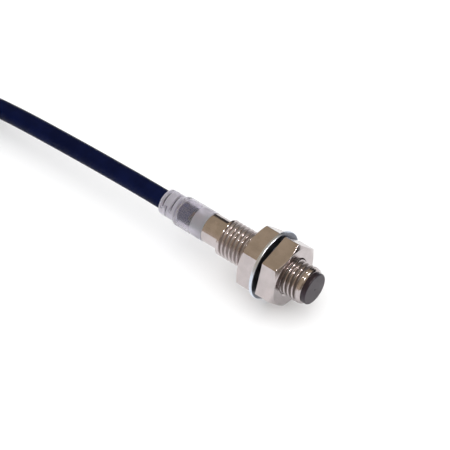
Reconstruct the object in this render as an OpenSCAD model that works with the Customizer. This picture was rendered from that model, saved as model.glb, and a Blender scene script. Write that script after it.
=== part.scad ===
// Cylindrical M8 inductive proximity sensor with a moulded-in cable.
// The origin is the centre of the sensing face, +X points out of that face along the barrel's axis, +Z is up.
// The sensor lies on the rim of its lock washer, and the spare cable lies behind it as a tied hank.

/* [Barrel] */
// Major diameter of the thread
thread_d = 8; // [6:0.1:12]
// Pitch of the thread
thread_pitch = 1; // [0.75:0.05:1.5]
// Length of the barrel, from its front edge to its rear edge
barrel_l = 25.75; // [22:0.25:60]
// Length of the smooth ring in front of the thread
front_ring_l = 0.85; // [0.6:0.05:2]
// Length of the smooth neck behind the thread
neck_l = 4.4; // [3.5:0.1:8]
// Diameter of the smooth neck
neck_d = 6.45; // [6.3:0.05:6.8]
// Diameter of the bore right through the barrel
bore_d = 5.8; // [4.8:0.05:5.9]

/* [Sensing cap] */
// Diameter of the cap's disc
cap_d = 6.85; // [6.2:0.05:7.2]
// How far the disc stands out of the barrel
cap_out = 1.05; // [0.8:0.05:2]
// Length of the cap's sleeve inside the barrel
cap_sleeve_l = 5; // [4.5:0.1:7]
// Rounding of the disc's edge
cap_round = 0.3; // [0.1:0.05:0.5]

/* [Nuts and washer] */
// Width across the flats of both nuts
nut_af = 13; // [12:0.1:17]
// Thickness of both nuts
nut_t = 4; // [3:0.1:4.5]
// Turn of the nuts about the barrel at rest
nut_roll = 42; // [0:1:59]
// From the sensing face to the front nut's front face
front_nut_at = 5.4; // [4.5:0.1:6]
// Outer diameter of the lock washer
washer_d = 15.2; // [14:0.1:20]
// Thickness of the lock washer's ring
washer_t = 0.7; // [0.4:0.05:1]
// Room that the washer's twisted teeth hold open between the nuts
washer_gap = 1.4; // [1.1:0.05:1.6]
// Number of the washer's inner teeth
washer_teeth = 10; // [6:1:12]

/* [Clear sleeve] */
// Diameter of the wide part of the clear sleeve
sleeve_d = 6.6; // [6.5:0.05:7.4]
// Length of the wide part
sleeve_l = 7.8; // [7:0.1:12]
// Diameter of the narrow part that grips the cable
grip_d = 5.65; // [5.2:0.05:6]
// Length of the narrow part
grip_l = 3.9; // [3.8:0.1:6]

/* [Cable] */
// Diameter of the cable's jacket
cable_d = 4.2; // [3:0.05:4.6]
// Diameter of each insulated core
core_d = 1.1; // [0.9:0.05:1.2]
// Length of the jacket inside the clear sleeve
jacket_in = 7.2; // [6.4:0.1:7.6]

/* [Circuit] */
// Width of the circuit board
board_w = 4.2; // [3.4:0.1:4.3]
// Thickness of the circuit board
board_t = 0.6; // [0.4:0.05:0.8]

/* [Hidden] */
$fn = 96;

// clearances
fixed_gap = 0.02;
running_gap = 0.03;
turn_gap = 0.01;

// barrel, as places along X
thread_r = thread_d / 2;
thread_depth = 0.6 * thread_pitch;
crest_w = thread_pitch / 8;
flank_w = thread_depth * tan(30);
front_x = -cap_out;
thread_x = front_x - front_ring_l;
rear_x = front_x - barrel_l;
neck_x = rear_x + neck_l;
bore_r = bore_d / 2;
front_edge = 0.35;
ring_r = thread_r - 0.1;
thread_turns = floor((thread_x - neck_x) / thread_pitch);

// cap and coil
cap_face_t = 0.6;
cap_wall = 0.38;
cap_sleeve_r = bore_r - fixed_gap;
cap_inner_r = cap_sleeve_r - cap_wall;
cap_end_x = front_x - cap_sleeve_l;
dimple_r = 0.22;
dimple_depth = 0.15;
core_x = -cap_face_t - fixed_gap;
ferrite_r = cap_inner_r - fixed_gap;
ferrite_l = 3;
ferrite_end_x = core_x - ferrite_l;
post_r = 0.9;
pot_wall = 0.45;
groove_l = 2;
bobbin_flange = 0.2;
lead_r = 0.08;
lead_y = 1.4;

// nuts and washer
nut_bore_r = thread_r + running_gap;
nut_mouth_r = nut_bore_r + 0.3;
nut_corner_r = nut_af / 2 / cos(30);
nut_face_r = nut_af / 2 * 0.98;
front_nut_x = -front_nut_at - nut_t;
rear_nut_x = front_nut_x - washer_gap - nut_t;
washer_x = front_nut_x - washer_gap + fixed_gap;
washer_ring_r = 5.3;
tooth_r = thread_r + 0.25;
tooth_t = 0.45;
tooth_w = 1.9;
tooth_twist = 24;

// circuit, which passes through the sleeve's spigot
spigot_wall = 0.42;
spigot_inner_r = bore_r - fixed_gap - spigot_wall;
board_front_x = ferrite_end_x - 2.9;
board_rear_x = rear_x - 3.7;
board_top = board_t / 2;
potting_start = ferrite_end_x - 0.1;
potting_end = rear_x + 2.6;
pocket_w = board_w + 0.1;
pocket_top = 1.45;
pocket_bottom = -1.25;
control_chip_size = [3, 3, 0.9];
transistor_size = [1.6, 2.4, 0.9];
resistor_size = [0.8, 1.2, 0.4];
capacitor_size = [1.6, 0.8, 0.8];
lamp_size = [1.4, 1.2, 1];
control_chip_at = 5;
transistor_at = 13;
resistors_at = [1.5, 3.2];
capacitors_at = [3, 8, 14];
lamp_at = board_front_x - board_rear_x - 0.2 - lamp_size.x;
resistor_y = board_w / 2 - 0.42 - resistor_size.y / 2;
core_overlap = 2.2;

// clear sleeve and cable end
sleeve_r = sleeve_d / 2;
grip_r = grip_d / 2;
sleeve_end_x = rear_x - sleeve_l;
exit_x = sleeve_end_x - grip_l;
cable_r = cable_d / 2;
cable_bore_r = cable_r + fixed_gap;
spigot_l = 2.5;
mouth_l = 0.4;
sleeve_wall = 0.55;
shoulder_l = 0.4;
end_lip_l = 0.35;
slot_w = 0.5;
slot_places = [0.9, 2.1, 3.05];
slot_floor = 0.12;
slot_turn = 145;
slot_arc = 110;
core_r = core_d / 2;
jacket_x = exit_x + jacket_in;
top_core_z = board_top + core_r + fixed_gap;
black_core_y = -core_d - 0.15;
lamp_y = core_r + 0.2 + lamp_size.y / 2;

// cable route, as hand-chosen points from the exit to the hank
floor_z = -washer_d / 2;
tie_t = 0.8;
lead_route = [[0, 0, 0], [-7, 0, 0], [-15, 0, -0.2], [-23, 0, -0.5], [-31, 0, -0.9], [-39, 0, -1.4],
    [-46, 0, -2.1], [-53, 0, -3.2], [-60, 0, -4.4], [-67, 0, -5.2], [-74, 0, -5.1], [-84, 0, -4.7]];
hank_front = -61.5;
hank_straight = 30.4;
hank_inner_r = 12.6;
hank_columns = 3;
hank_layers = 4;
hank_outer_r = hank_inner_r + (hank_columns - 1) * cable_d;
hank_edge_r = hank_outer_r + cable_r;
hank_h = hank_layers * cable_d;
hank_z = floor_z + tie_t;
hank_y = -hank_outer_r;
hank_bend_x = exit_x + hank_front - hank_edge_r;
hank_mid_x = hank_bend_x - hank_straight / 2;
tail_y = hank_y - hank_outer_r;
tail_z = hank_z + hank_h - cable_r;
tail_route = [[-30, 0, 0], [-27, 0, 0], [-24, 0, 0], [-21, 0, 0]];
tail_core_route = [[0, 0, 0], [5, 0, 0], [10, 0, 0], [15, 0, 0], [20, 0, 0]];
tie_w = 7;
tie_slack = 0.05;
tail_end = tail_route[len(tail_route) - 1];
tail_spread = 0.75;
tip_l = 5;
tip_r = 0.35;

// a solid of revolution about X, from points [radius, x]
module turned(points) {
    rotate([0, 90, 0]) rotate_extrude() polygon(points);
}

// a round bar along X
module bar(r, x0, x1) {
    translate([min(x0, x1), 0, 0]) rotate([0, 90, 0]) cylinder(r = r, h = abs(x1 - x0));
}

// a box from its lowest to its highest corner
module block(low, high) {
    translate(low) cube(high - low);
}

// frames of a swept tube: every route here stays in an upright plane along X, or turns gently in Y
function route_dir(p, i) = let (a = p[max(i - 1, 0)], b = p[min(i + 1, len(p) - 1)]) (b - a) / norm(b - a);
function tube_ring(p, i, r, sides) =
    let (d = (i == 0 || i == len(p) - 1) ? [sign(p[len(p) - 1].x - p[0].x), 0, 0] : route_dir(p, i))
    let (u = cross([0, 0, 1], d) / norm(cross([0, 0, 1], d)), v = cross(d, u))
    [for (k = [0 : sides - 1]) p[i] + r * (cos(360 * k / sides) * u + sin(360 * k / sides) * v)];

// a tube swept along a route as one polyhedron
module tube(p, r, sides) {
    n = len(p);
    points = [for (i = [0 : n - 1]) each tube_ring(p, i, r, sides)];
    sides_faces = [for (i = [0 : n - 2], k = [0 : sides - 1])
        [i * sides + k, i * sides + (k + 1) % sides, (i + 1) * sides + (k + 1) % sides, (i + 1) * sides + k]];
    first = [[for (k = [sides - 1 : -1 : 0]) k]];
    last = [[for (k = [0 : sides - 1]) (n - 1) * sides + k]];
    turn = [for (f = concat(sides_faces, first, last)) [for (k = [len(f) - 1 : -1 : 0]) f[k]]];
    polyhedron(points = points, faces = turn);
}

function moved(p, by) = [for (q = p) q + by];

// nickel-plated brass barrel with the mounting thread
module barrel() {
    crests = [for (i = [0 : thread_turns - 1]) let (x = thread_x - (i + 0.5) * thread_pitch)
        each [[thread_r - thread_depth, x + crest_w / 2 + flank_w], [thread_r, x + crest_w / 2],
            [thread_r, x - crest_w / 2], [thread_r - thread_depth, x - crest_w / 2 - flank_w]]];
    outline = concat([[bore_r, front_x], [ring_r - front_edge, front_x], [ring_r, front_x - front_edge],
        [ring_r, thread_x]], crests, [[neck_d / 2, neck_x], [neck_d / 2, rear_x], [bore_r, rear_x]]);
    color([0.72, 0.66, 0.6]) turned(outline);
}

// dark plastic cap that closes the sensing end
module sensing_cap() {
    arc = [for (a = [0 : 15 : 90]) [cap_d / 2 - cap_round + cap_round * sin(a), -cap_round + cap_round * cos(a)]];
    outline = concat([[0, -dimple_depth], [dimple_r, 0]], arc, [[cap_d / 2, front_x], [cap_sleeve_r, front_x],
        [cap_sleeve_r, cap_end_x], [cap_inner_r, cap_end_x], [cap_inner_r, -cap_face_t], [0, -cap_face_t]]);
    color([0.36, 0.32, 0.35]) turned(outline);
}

// pot core behind the cap, with the coil's groove and two holes for the coil's ends
module ferrite_core() {
    color([0.2, 0.2, 0.22]) difference() {
        turned([[0, core_x], [post_r, core_x], [post_r, core_x - groove_l], [ferrite_r - pot_wall, core_x - groove_l],
            [ferrite_r - pot_wall, core_x], [ferrite_r, core_x], [ferrite_r, ferrite_end_x], [0, ferrite_end_x]]);
        for (side = [-1, 1]) translate([0, side * lead_y, 0]) bar(lead_r * 2, ferrite_end_x - 1, core_x - 0.5);
    }
}

module coil_bobbin() {
    hub = post_r + fixed_gap;
    rim = ferrite_r - pot_wall - fixed_gap;
    back = core_x - groove_l + fixed_gap;
    color([0.9, 0.9, 0.85]) difference() {
        turned([[hub, core_x], [rim, core_x], [rim, core_x - bobbin_flange], [hub + 0.15, core_x - bobbin_flange],
            [hub + 0.15, back + bobbin_flange], [rim, back + bobbin_flange], [rim, back], [hub, back]]);
        for (side = [-1, 1]) translate([0, side * lead_y, 0]) bar(lead_r * 2, back - 1, back + bobbin_flange + 0.01);
    }
}

module coil_winding() {
    inner = post_r + fixed_gap * 2 + 0.15;
    outer = ferrite_r - pot_wall - fixed_gap * 3;
    start = core_x - bobbin_flange - fixed_gap;
    end = core_x - groove_l + bobbin_flange + fixed_gap * 2;
    color([0.75, 0.4, 0.2]) turned([[inner, start], [outer, start], [outer, end], [inner, end]]);
}

// the coil's two ends, led through the core to the board
module coil_leads() {
    start = core_x - groove_l + bobbin_flange;
    color([0.75, 0.4, 0.2]) for (side = [-1, 1]) translate([0, side * lead_y, 0])
        bar(lead_r, board_front_x + fixed_gap, start);
}

// resin that fills the barrel around the board and its parts
module potting() {
    wide_r = bore_r - fixed_gap * 2;
    color([0.15, 0.15, 0.16]) difference() {
        turned([[0, potting_start], [ferrite_r, potting_start], [ferrite_r, cap_end_x - fixed_gap],
            [wide_r, cap_end_x - fixed_gap], [wide_r, potting_end], [0, potting_end]]);
        block([potting_end - 1, -pocket_w / 2, pocket_bottom], [board_front_x + 0.1, pocket_w / 2, pocket_top]);
        for (side = [-1, 1]) translate([0, side * lead_y, 0]) bar(lead_r * 2, board_front_x, potting_start + 1);
    }
}

module circuit_board() {
    color([0.1, 0.4, 0.2]) block([board_rear_x, -board_w / 2, -board_top], [board_front_x, board_w / 2, board_top]);
}

// a part soldered on the board: its front edge, its size and its side of the board
module on_board(front, size, y = 0, side = 1) {
    low = side > 0 ? board_top : -board_top - size.z;
    block([board_front_x - front - size.x, y - size.y / 2, low], [board_front_x - front, y + size.y / 2, low + size.z]);
}

module control_chip() {
    color([0.12, 0.12, 0.13]) on_board(control_chip_at, control_chip_size);
}

module output_transistor() {
    color([0.12, 0.12, 0.13]) on_board(transistor_at, transistor_size);
}

module chip_resistors() {
    color([0.1, 0.1, 0.1]) for (place = resistors_at, side = [-1, 1])
        on_board(place, resistor_size, side * resistor_y);
}

module chip_capacitors() {
    color([0.7, 0.55, 0.4]) for (place = capacitors_at) on_board(place, capacitor_size, 0, -1);
}

module indicator_lamp() {
    color([0.95, 0.9, 0.85]) on_board(lamp_at, lamp_size, lamp_y);
}

// clear moulded sleeve: spigot in the barrel, wide body over the lamp, slotted grip round the cable
module clear_sleeve() {
    spigot_r = bore_r - fixed_gap;
    outline = [[spigot_inner_r, rear_x + spigot_l], [spigot_r, rear_x + spigot_l], [spigot_r, rear_x],
        [sleeve_r, rear_x], [sleeve_r, sleeve_end_x + shoulder_l], [grip_r, sleeve_end_x],
        [grip_r, exit_x + end_lip_l], [grip_r - 0.12, exit_x], [cable_bore_r, exit_x],
        [cable_bore_r, sleeve_end_x + shoulder_l], [sleeve_r - sleeve_wall, sleeve_end_x + shoulder_l + 0.6],
        [sleeve_r - sleeve_wall, rear_x - mouth_l], [spigot_inner_r, rear_x - 0.1]];
    color([0.85, 0.87, 0.9, 0.6]) difference() {
        turned(outline);
        // groove for the board, which cuts the spigot only in a bore too narrow for the board
        block([rear_x - mouth_l, -board_w / 2 - fixed_gap, -board_top - fixed_gap],
            [rear_x + spigot_l + fixed_gap, board_w / 2 + fixed_gap, board_top + fixed_gap]);
        for (i = [0 : len(slot_places) - 1], half = [0, 180])
            translate([sleeve_end_x - slot_places[i], 0, 0]) rotate([half + 90 * i + slot_turn, 0, 0]) slot();
    }
}

// a slot a third of the way round the grip, down to the cable
module slot() {
    rotate([0, 90, 0]) rotate_extrude(angle = slot_arc)
        translate([cable_bore_r + slot_floor, -slot_w / 2]) square([grip_r, slot_w]);
}

// the end of the cable's jacket inside the clear sleeve
module cable_end() {
    color([0.06, 0.08, 0.2]) bar(cable_r, exit_x, jacket_x);
}

module core_brown() {
    color([0.4, 0.2, 0.1]) translate([0, 0, top_core_z])
        bar(core_r, jacket_x, board_rear_x + core_overlap);
}

module core_blue() {
    color([0.1, 0.25, 0.7]) translate([0, 0, -top_core_z])
        bar(core_r, jacket_x, board_rear_x + core_overlap);
}

module core_black() {
    color([0.08, 0.08, 0.08]) translate([0, black_core_y, top_core_z])
        bar(core_r, jacket_x, board_rear_x + core_overlap);
}

// hexagon nut with one chamfered face, which looks along +X
module nut() {
    chamfer = (nut_corner_r - nut_face_r) * tan(30);
    difference() {
        intersection() {
            rotate([0, 90, 0]) cylinder(r = nut_corner_r, h = nut_t, $fn = 6);
            turned([[0, 0], [nut_corner_r + 1, 0], [nut_corner_r + 1, nut_t - chamfer - tan(30)],
                [nut_face_r, nut_t], [0, nut_t]]);
        }
        bar(nut_bore_r, -1, nut_t + 1);
        turned([[0, -1], [nut_mouth_r + 1, -1], [nut_bore_r, nut_mouth_r - nut_bore_r],
            [0, nut_mouth_r - nut_bore_r]]);
        turned([[0, nut_t + 1], [nut_mouth_r + 1, nut_t + 1], [nut_bore_r, nut_t - nut_mouth_r + nut_bore_r],
            [0, nut_t - nut_mouth_r + nut_bore_r]]);
    }
}

module front_nut() {
    color([0.72, 0.66, 0.6]) translate([front_nut_x, 0, 0]) rotate([nut_roll, 0, 0]) nut();
}

module rear_nut() {
    color([0.72, 0.66, 0.6]) translate([rear_nut_x + nut_t, 0, 0]) mirror([1, 0, 0]) rotate([nut_roll, 0, 0]) nut();
}

// steel washer with inner teeth twisted out of its plane
module lock_washer() {
    reach = washer_ring_r - tooth_r + 0.3;
    color([0.75, 0.78, 0.82]) {
        turned([[washer_ring_r, washer_x], [washer_d / 2, washer_x], [washer_d / 2, washer_x + washer_t],
            [washer_ring_r, washer_x + washer_t]]);
        for (i = [0 : washer_teeth - 1]) rotate([360 * i / washer_teeth, 0, 0])
            translate([front_nut_x - washer_gap / 2, 0, tooth_r]) rotate([0, 0, tooth_twist])
                translate([-tooth_t / 2, -tooth_w / 2, 0]) cube([tooth_t, tooth_w, reach]);
    }
}

module cable_lead() {
    color([0.03, 0.05, 0.18]) tube(moved(lead_route, [exit_x, 0, 0]), cable_r, 12);
}

// outline of the hank from above, with round ends
module hank_outline(edge) {
    for (x = [0, -hank_straight]) translate([x, 0]) circle(r = edge);
    translate([-hank_straight, -edge]) square([hank_straight, 2 * edge]);
}

// the folded runs of the spare cable as one closed solid, notched where the cable comes in and goes out
module cable_hank() {
    lead_end = exit_x + lead_route[len(lead_route) - 1].x;
    tail_start = hank_bend_x + tail_route[0].x;
    notch = cable_r + turn_gap;
    top = hank_z + hank_h;
    color([0.03, 0.05, 0.18]) difference() {
        translate([hank_bend_x, hank_y, hank_z]) linear_extrude(hank_h) hank_outline(hank_edge_r);
        block([lead_end, -notch, hank_z - 1], [lead_end + 60, notch, lead_route[len(lead_route) - 1].z + notch]);
        block([tail_start, tail_y - notch - 1, top - cable_d - turn_gap], [tail_start + 60, tail_y + notch, top + 1]);
    }
}

// flat band round the middle of the hank
module hank_tie() {
    half = hank_edge_r + tie_slack;
    color([0.1, 0.1, 0.1]) difference() {
        block([hank_mid_x - tie_w / 2, hank_y - half - tie_t, floor_z],
            [hank_mid_x + tie_w / 2, hank_y + half + tie_t, hank_z + hank_h + tie_slack + tie_t]);
        block([hank_mid_x - tie_w, hank_y - half, hank_z], [hank_mid_x + tie_w, hank_y + half, hank_z + hank_h + tie_slack]);
    }
}

module cable_tail() {
    color([0.03, 0.05, 0.18]) tube(moved(tail_route, [hank_bend_x, tail_y, tail_z]), cable_r, 12);
}

// a free core that leaves the jacket beside or over the other two
function tail_core(y, z) = moved(tail_core_route, [hank_bend_x + tail_end.x, tail_y + y, tail_z + z]);

module tail_brown() {
    color([0.4, 0.2, 0.1]) tube(tail_core(-tail_spread, -tail_spread / 2), core_r, 8);
}

module tail_blue() {
    color([0.1, 0.25, 0.7]) tube(tail_core(tail_spread, -tail_spread / 2), core_r, 8);
}

module tail_black() {
    color([0.08, 0.08, 0.08]) tube(tail_core(0, tail_spread), core_r, 8);
}

// tinned ends of the three free cores
module core_tips() {
    low = -tail_spread / 2;
    ends = [for (at = [[-tail_spread, low], [tail_spread, low], [0, tail_spread]])
        let (p = tail_core(at.x, at.y)) p[len(p) - 1]];
    color([0.8, 0.8, 0.82]) for (p = ends) translate([0, p.y, p.z]) bar(tip_r, p.x, p.x + tip_l);
}

barrel();
sensing_cap();
ferrite_core();
coil_bobbin();
coil_winding();
coil_leads();
potting();
circuit_board();
control_chip();
output_transistor();
chip_resistors();
chip_capacitors();
indicator_lamp();
clear_sleeve();
cable_end();
core_brown();
core_blue();
core_black();
front_nut();
lock_washer();
rear_nut();
cable_lead();
cable_hank();
hank_tie();
cable_tail();
tail_brown();
tail_blue();
tail_black();
core_tips();
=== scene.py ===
"""Looks of a cylindrical proximity sensor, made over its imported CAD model."""
from math import cos, degrees, hypot, pi, radians, sin, tan

import bmesh
import bpy
from bpy.props import FloatProperty, FloatVectorProperty, IntProperty, PointerProperty
from bpy.types import Operator, Panel, PropertyGroup
from mathutils import Matrix, Quaternion, Vector


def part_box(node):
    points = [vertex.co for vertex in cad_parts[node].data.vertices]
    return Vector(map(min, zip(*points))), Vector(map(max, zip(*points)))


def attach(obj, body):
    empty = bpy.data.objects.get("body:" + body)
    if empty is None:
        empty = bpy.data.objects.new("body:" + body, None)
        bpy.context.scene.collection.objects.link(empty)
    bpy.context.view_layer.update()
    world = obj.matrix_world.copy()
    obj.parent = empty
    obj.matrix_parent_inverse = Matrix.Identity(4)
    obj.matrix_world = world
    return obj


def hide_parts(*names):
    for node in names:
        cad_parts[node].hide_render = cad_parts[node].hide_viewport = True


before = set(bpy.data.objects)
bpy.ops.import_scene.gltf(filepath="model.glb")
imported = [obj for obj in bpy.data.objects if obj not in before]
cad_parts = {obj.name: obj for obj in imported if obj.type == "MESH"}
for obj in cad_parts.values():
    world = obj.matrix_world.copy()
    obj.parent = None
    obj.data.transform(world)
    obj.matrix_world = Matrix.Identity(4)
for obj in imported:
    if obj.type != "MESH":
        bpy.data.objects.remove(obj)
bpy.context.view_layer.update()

bl_info = {
    "name": "Proximity Sensor Maker",
    "version": (1, 0, 0),
    "blender": (4, 5, 0),
    "location": "View3D > Sidebar > Sensor",
    "description": "Builds a threaded proximity sensor, its nuts, clear sleeve, cable and studio",
    "category": "Object",
}

MM = 0.001
TURN = 2 * pi

SENSOR = "sensor"
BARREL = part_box("barrel")
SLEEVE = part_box("clear_sleeve")
FRONT_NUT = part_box("front_nut")
REAR_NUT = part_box("rear_nut")
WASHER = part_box("lock_washer")
FLOOR_Z = WASHER[0][2]
EXIT_X = SLEEVE[0][0]

# half the width of the studio floor, and the clearance between pieces that fit each other
STUDIO_HALF = 1.5
FIT = 0.02 * MM


# ---------------------------------------------------------------- settings

def length(name, description, default):
    return FloatProperty(name=name, description=description, default=default, unit="LENGTH", precision=5)


def colour(name, description, default):
    return FloatVectorProperty(name=name, description=description, default=default, size=3, subtype="COLOR",
                               min=0.0, max=1.0)


class SensorSizes(PropertyGroup):
    thread_radius: length("Thread radius", "Radius over the thread's crests", BARREL[1][2])
    thread_pitch: length("Thread pitch", "Advance of the thread in one turn", 1.0 * MM)
    thread_depth: length("Thread depth", "Radial depth of the thread", 0.6 * MM)
    front_ring: length("Front ring", "Length of the smooth ring in front of the thread", 0.85 * MM)
    neck: length("Neck length", "Length of the smooth neck behind the thread", 4.4 * MM)
    neck_radius: length("Neck radius", "Radius of the smooth neck", 3.225 * MM)
    bore_radius: length("Bore radius", "Radius of the barrel's bore", 2.9 * MM)
    nut_flats: length("Nut flats", "Width across the flats of the nuts", 13.0 * MM)
    nut_roll: FloatProperty(name="Nut roll", description="Turn of the nuts about the barrel",
                            default=radians(42), subtype="ANGLE", unit="ROTATION")
    edge_break: length("Edge break", "Rounding of the nuts' machined edges", 0.09 * MM)
    washer_teeth: IntProperty(name="Washer teeth", description="Number of inner teeth", default=10, min=4)
    cable_diameter: length("Cable diameter", "Diameter over the jacket", 4.2 * MM)
    core_diameter: length("Core diameter", "Diameter of one insulated core", 1.1 * MM)


class SensorColours(PropertyGroup):
    nickel: colour("Nickel", "Bright nickel plating", (0.56, 0.505, 0.505))
    steel: colour("Washer steel", "Zinc-plated washer", (0.70, 0.76, 0.86))
    cap: colour("Cap", "Sensing cap", (0.008, 0.004, 0.009))
    clear: colour("Clear plastic", "Translucent sleeve", (0.87, 0.84, 0.92))
    jacket: colour("Jacket", "Cable jacket", (0.0005, 0.0023, 0.020))
    brown: colour("Brown core", "Supply core", (0.16, 0.06, 0.025))
    blue: colour("Blue core", "Return core", (0.02, 0.08, 0.42))
    black: colour("Black core", "Output core", (0.015, 0.015, 0.017))
    floor: colour("Floor", "Studio floor", (0.94, 0.94, 0.94))


class SensorStage(PropertyGroup):
    azimuth: FloatProperty(name="Azimuth", description="Camera's side of the sensor", default=radians(39.85),
                           subtype="ANGLE", unit="ROTATION")
    elevation: FloatProperty(name="Elevation", description="Camera's height over the floor",
                             default=radians(46.86), subtype="ANGLE", unit="ROTATION")
    distance: length("Distance", "From the camera to the point it looks at", 475.4 * MM)
    aim_right: length("Aim right", "The looked-at point, left of the sensing face", 17.67 * MM)
    aim_up: length("Aim up", "The looked-at point, above the sensing face", 13.00 * MM)
    roll: FloatProperty(name="Roll", description="Lean of the camera about its own view",
                        default=radians(-0.6), subtype="ANGLE", unit="ROTATION")
    lens: FloatProperty(name="Lens", description="Focal length in millimetres", default=192.0, min=1.0)


# ------------------------------------------------------------- mesh tools

def finished(name, mesh_or_curve, material, body):
    """Link a piece, give it its finish and make it ride on a body."""
    piece = bpy.data.objects.new(name, mesh_or_curve)
    bpy.context.scene.collection.objects.link(piece)
    piece.data.materials.clear()
    piece.data.materials.append(material)
    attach(piece, body)
    return piece


def mesh_from(name, bm, crease=35):
    """Close the seams of a bmesh, turn its faces outwards and make a smooth mesh of it."""
    bmesh.ops.remove_doubles(bm, verts=bm.verts, dist=1e-7)
    bmesh.ops.dissolve_degenerate(bm, edges=bm.edges, dist=1e-8)
    bmesh.ops.recalc_face_normals(bm, faces=bm.faces)
    mesh = bpy.data.meshes.new(name)
    bm.to_mesh(mesh)
    bm.free()
    mesh.shade_smooth()
    mesh.set_sharp_from_angle(angle=radians(crease))
    return mesh


def softened(corners, steps=4):
    """A closed outline of (x, r, cut) corners, each rounded over its cut and held flat just outside it."""
    outline = []
    count = len(corners)
    for i, (x, r, cut) in enumerate(corners):
        here = Vector((x, r))
        if cut == 0:
            outline.append(here)
            continue
        before = Vector(corners[i - 1][:2]) - here
        after = Vector(corners[(i + 1) % count][:2]) - here
        reach = min(cut, before.length * 0.4, after.length * 0.4)
        start, end = here + before.normalized() * reach, here + after.normalized() * reach
        outline.append(start + before.normalized() * reach * 0.15)
        for k in range(steps + 1):
            t = k / steps
            outline.append(start * (1 - t) ** 2 + here * 2 * t * (1 - t) + end * t ** 2)
        outline.append(end + after.normalized() * reach * 0.15)
    return outline


def ring_solid(name, angles, outline_at, crease=35, centre=Vector((0, 0, 0))):
    """A closed solid round the X axis: outline_at(angle) gives its closed outline of (x, r) points."""
    bm = bmesh.new()
    rings = [[bm.verts.new(centre + Vector((x, r * cos(a), r * sin(a)))) for x, r in outline_at(a)]
             for a in angles]
    for i, ring in enumerate(rings):
        following = rings[(i + 1) % len(rings)]
        for k in range(len(ring)):
            j = (k + 1) % len(ring)
            bm.faces.new((ring[k], ring[j], following[j], following[k]))
    return mesh_from(name, bm, crease)


def even_angles(count):
    return [TURN * i / count for i in range(count)]


def turned(name, corners, segments=96, crease=35):
    """A turned solid from (x, r, cut) corners."""
    outline = softened(corners)
    return ring_solid(name, even_angles(segments), lambda a: outline, crease)


def loft(name, sections, closed_path=False, crease=35):
    """A solid through equal closed sections of points, capped at both ends unless the path closes."""
    bm = bmesh.new()
    rings = [[bm.verts.new(p) for p in section] for section in sections]
    for i in range(len(rings) if closed_path else len(rings) - 1):
        a, b = rings[i], rings[(i + 1) % len(rings)]
        for k in range(len(a)):
            j = (k + 1) % len(a)
            bm.faces.new((a[k], a[j], b[j], b[k]))
    if not closed_path:
        bm.faces.new(rings[0])
        bm.faces.new(rings[-1])
    return mesh_from(name, bm, crease)


def smooth_path(points, steps=6):
    """A smooth run of points through given ones."""
    run = []
    for i in range(len(points) - 1):
        p0, p1 = points[max(i - 1, 0)], points[i]
        p2, p3 = points[i + 1], points[min(i + 2, len(points) - 1)]
        for k in range(steps):
            t = k / steps
            run.append(0.5 * (2 * p1 + (p2 - p0) * t + (2 * p0 - 5 * p1 + 4 * p2 - p3) * t ** 2
                              + (3 * p1 - p0 - 3 * p2 + p3) * t ** 3))
    run.append(points[-1])
    return run


def tube_curve(name, points, radius, sides=5):
    """A round tube along points, as a curve with one open spline."""
    curve = bpy.data.curves.new(name, "CURVE")
    curve.dimensions = "3D"
    curve.bevel_depth = radius
    curve.bevel_resolution = sides
    curve.use_fill_caps = True
    spline = curve.splines.new("POLY")
    spline.points.add(len(points) - 1)
    for point, place in zip(spline.points, points):
        point.co = (*place, 1.0)
    spline.use_smooth = True
    return curve


# ---------------------------------------------------------- node building

class Sock:
    """A shader or field output that Python's operators build Math nodes on."""

    def __init__(self, board, socket):
        self.board, self.socket = board, socket

    def _math(self, operation, first, second=None):
        inputs = {0: first} if second is None else {0: first, 1: second}
        return self.board.node("ShaderNodeMath", {"operation": operation}, inputs)

    def __add__(self, other): return self._math("ADD", self, other)
    def __radd__(self, other): return self._math("ADD", other, self)
    def __sub__(self, other): return self._math("SUBTRACT", self, other)
    def __rsub__(self, other): return self._math("SUBTRACT", other, self)
    def __mul__(self, other): return self._math("MULTIPLY", self, other)
    def __rmul__(self, other): return self._math("MULTIPLY", other, self)
    def __truediv__(self, other): return self._math("DIVIDE", self, other)
    def __rtruediv__(self, other): return self._math("DIVIDE", other, self)
    def __gt__(self, other): return self._math("GREATER_THAN", self, other)
    def __lt__(self, other): return self._math("LESS_THAN", self, other)
    def abs(self): return self._math("ABSOLUTE", self)
    def fract(self): return self._math("FRACT", self)
    def sin(self): return self._math("SINE", self)
    def sqrt(self): return self._math("SQRT", self)
    def angle_to(self, other): return self._math("ARCTAN2", self, other)


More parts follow.
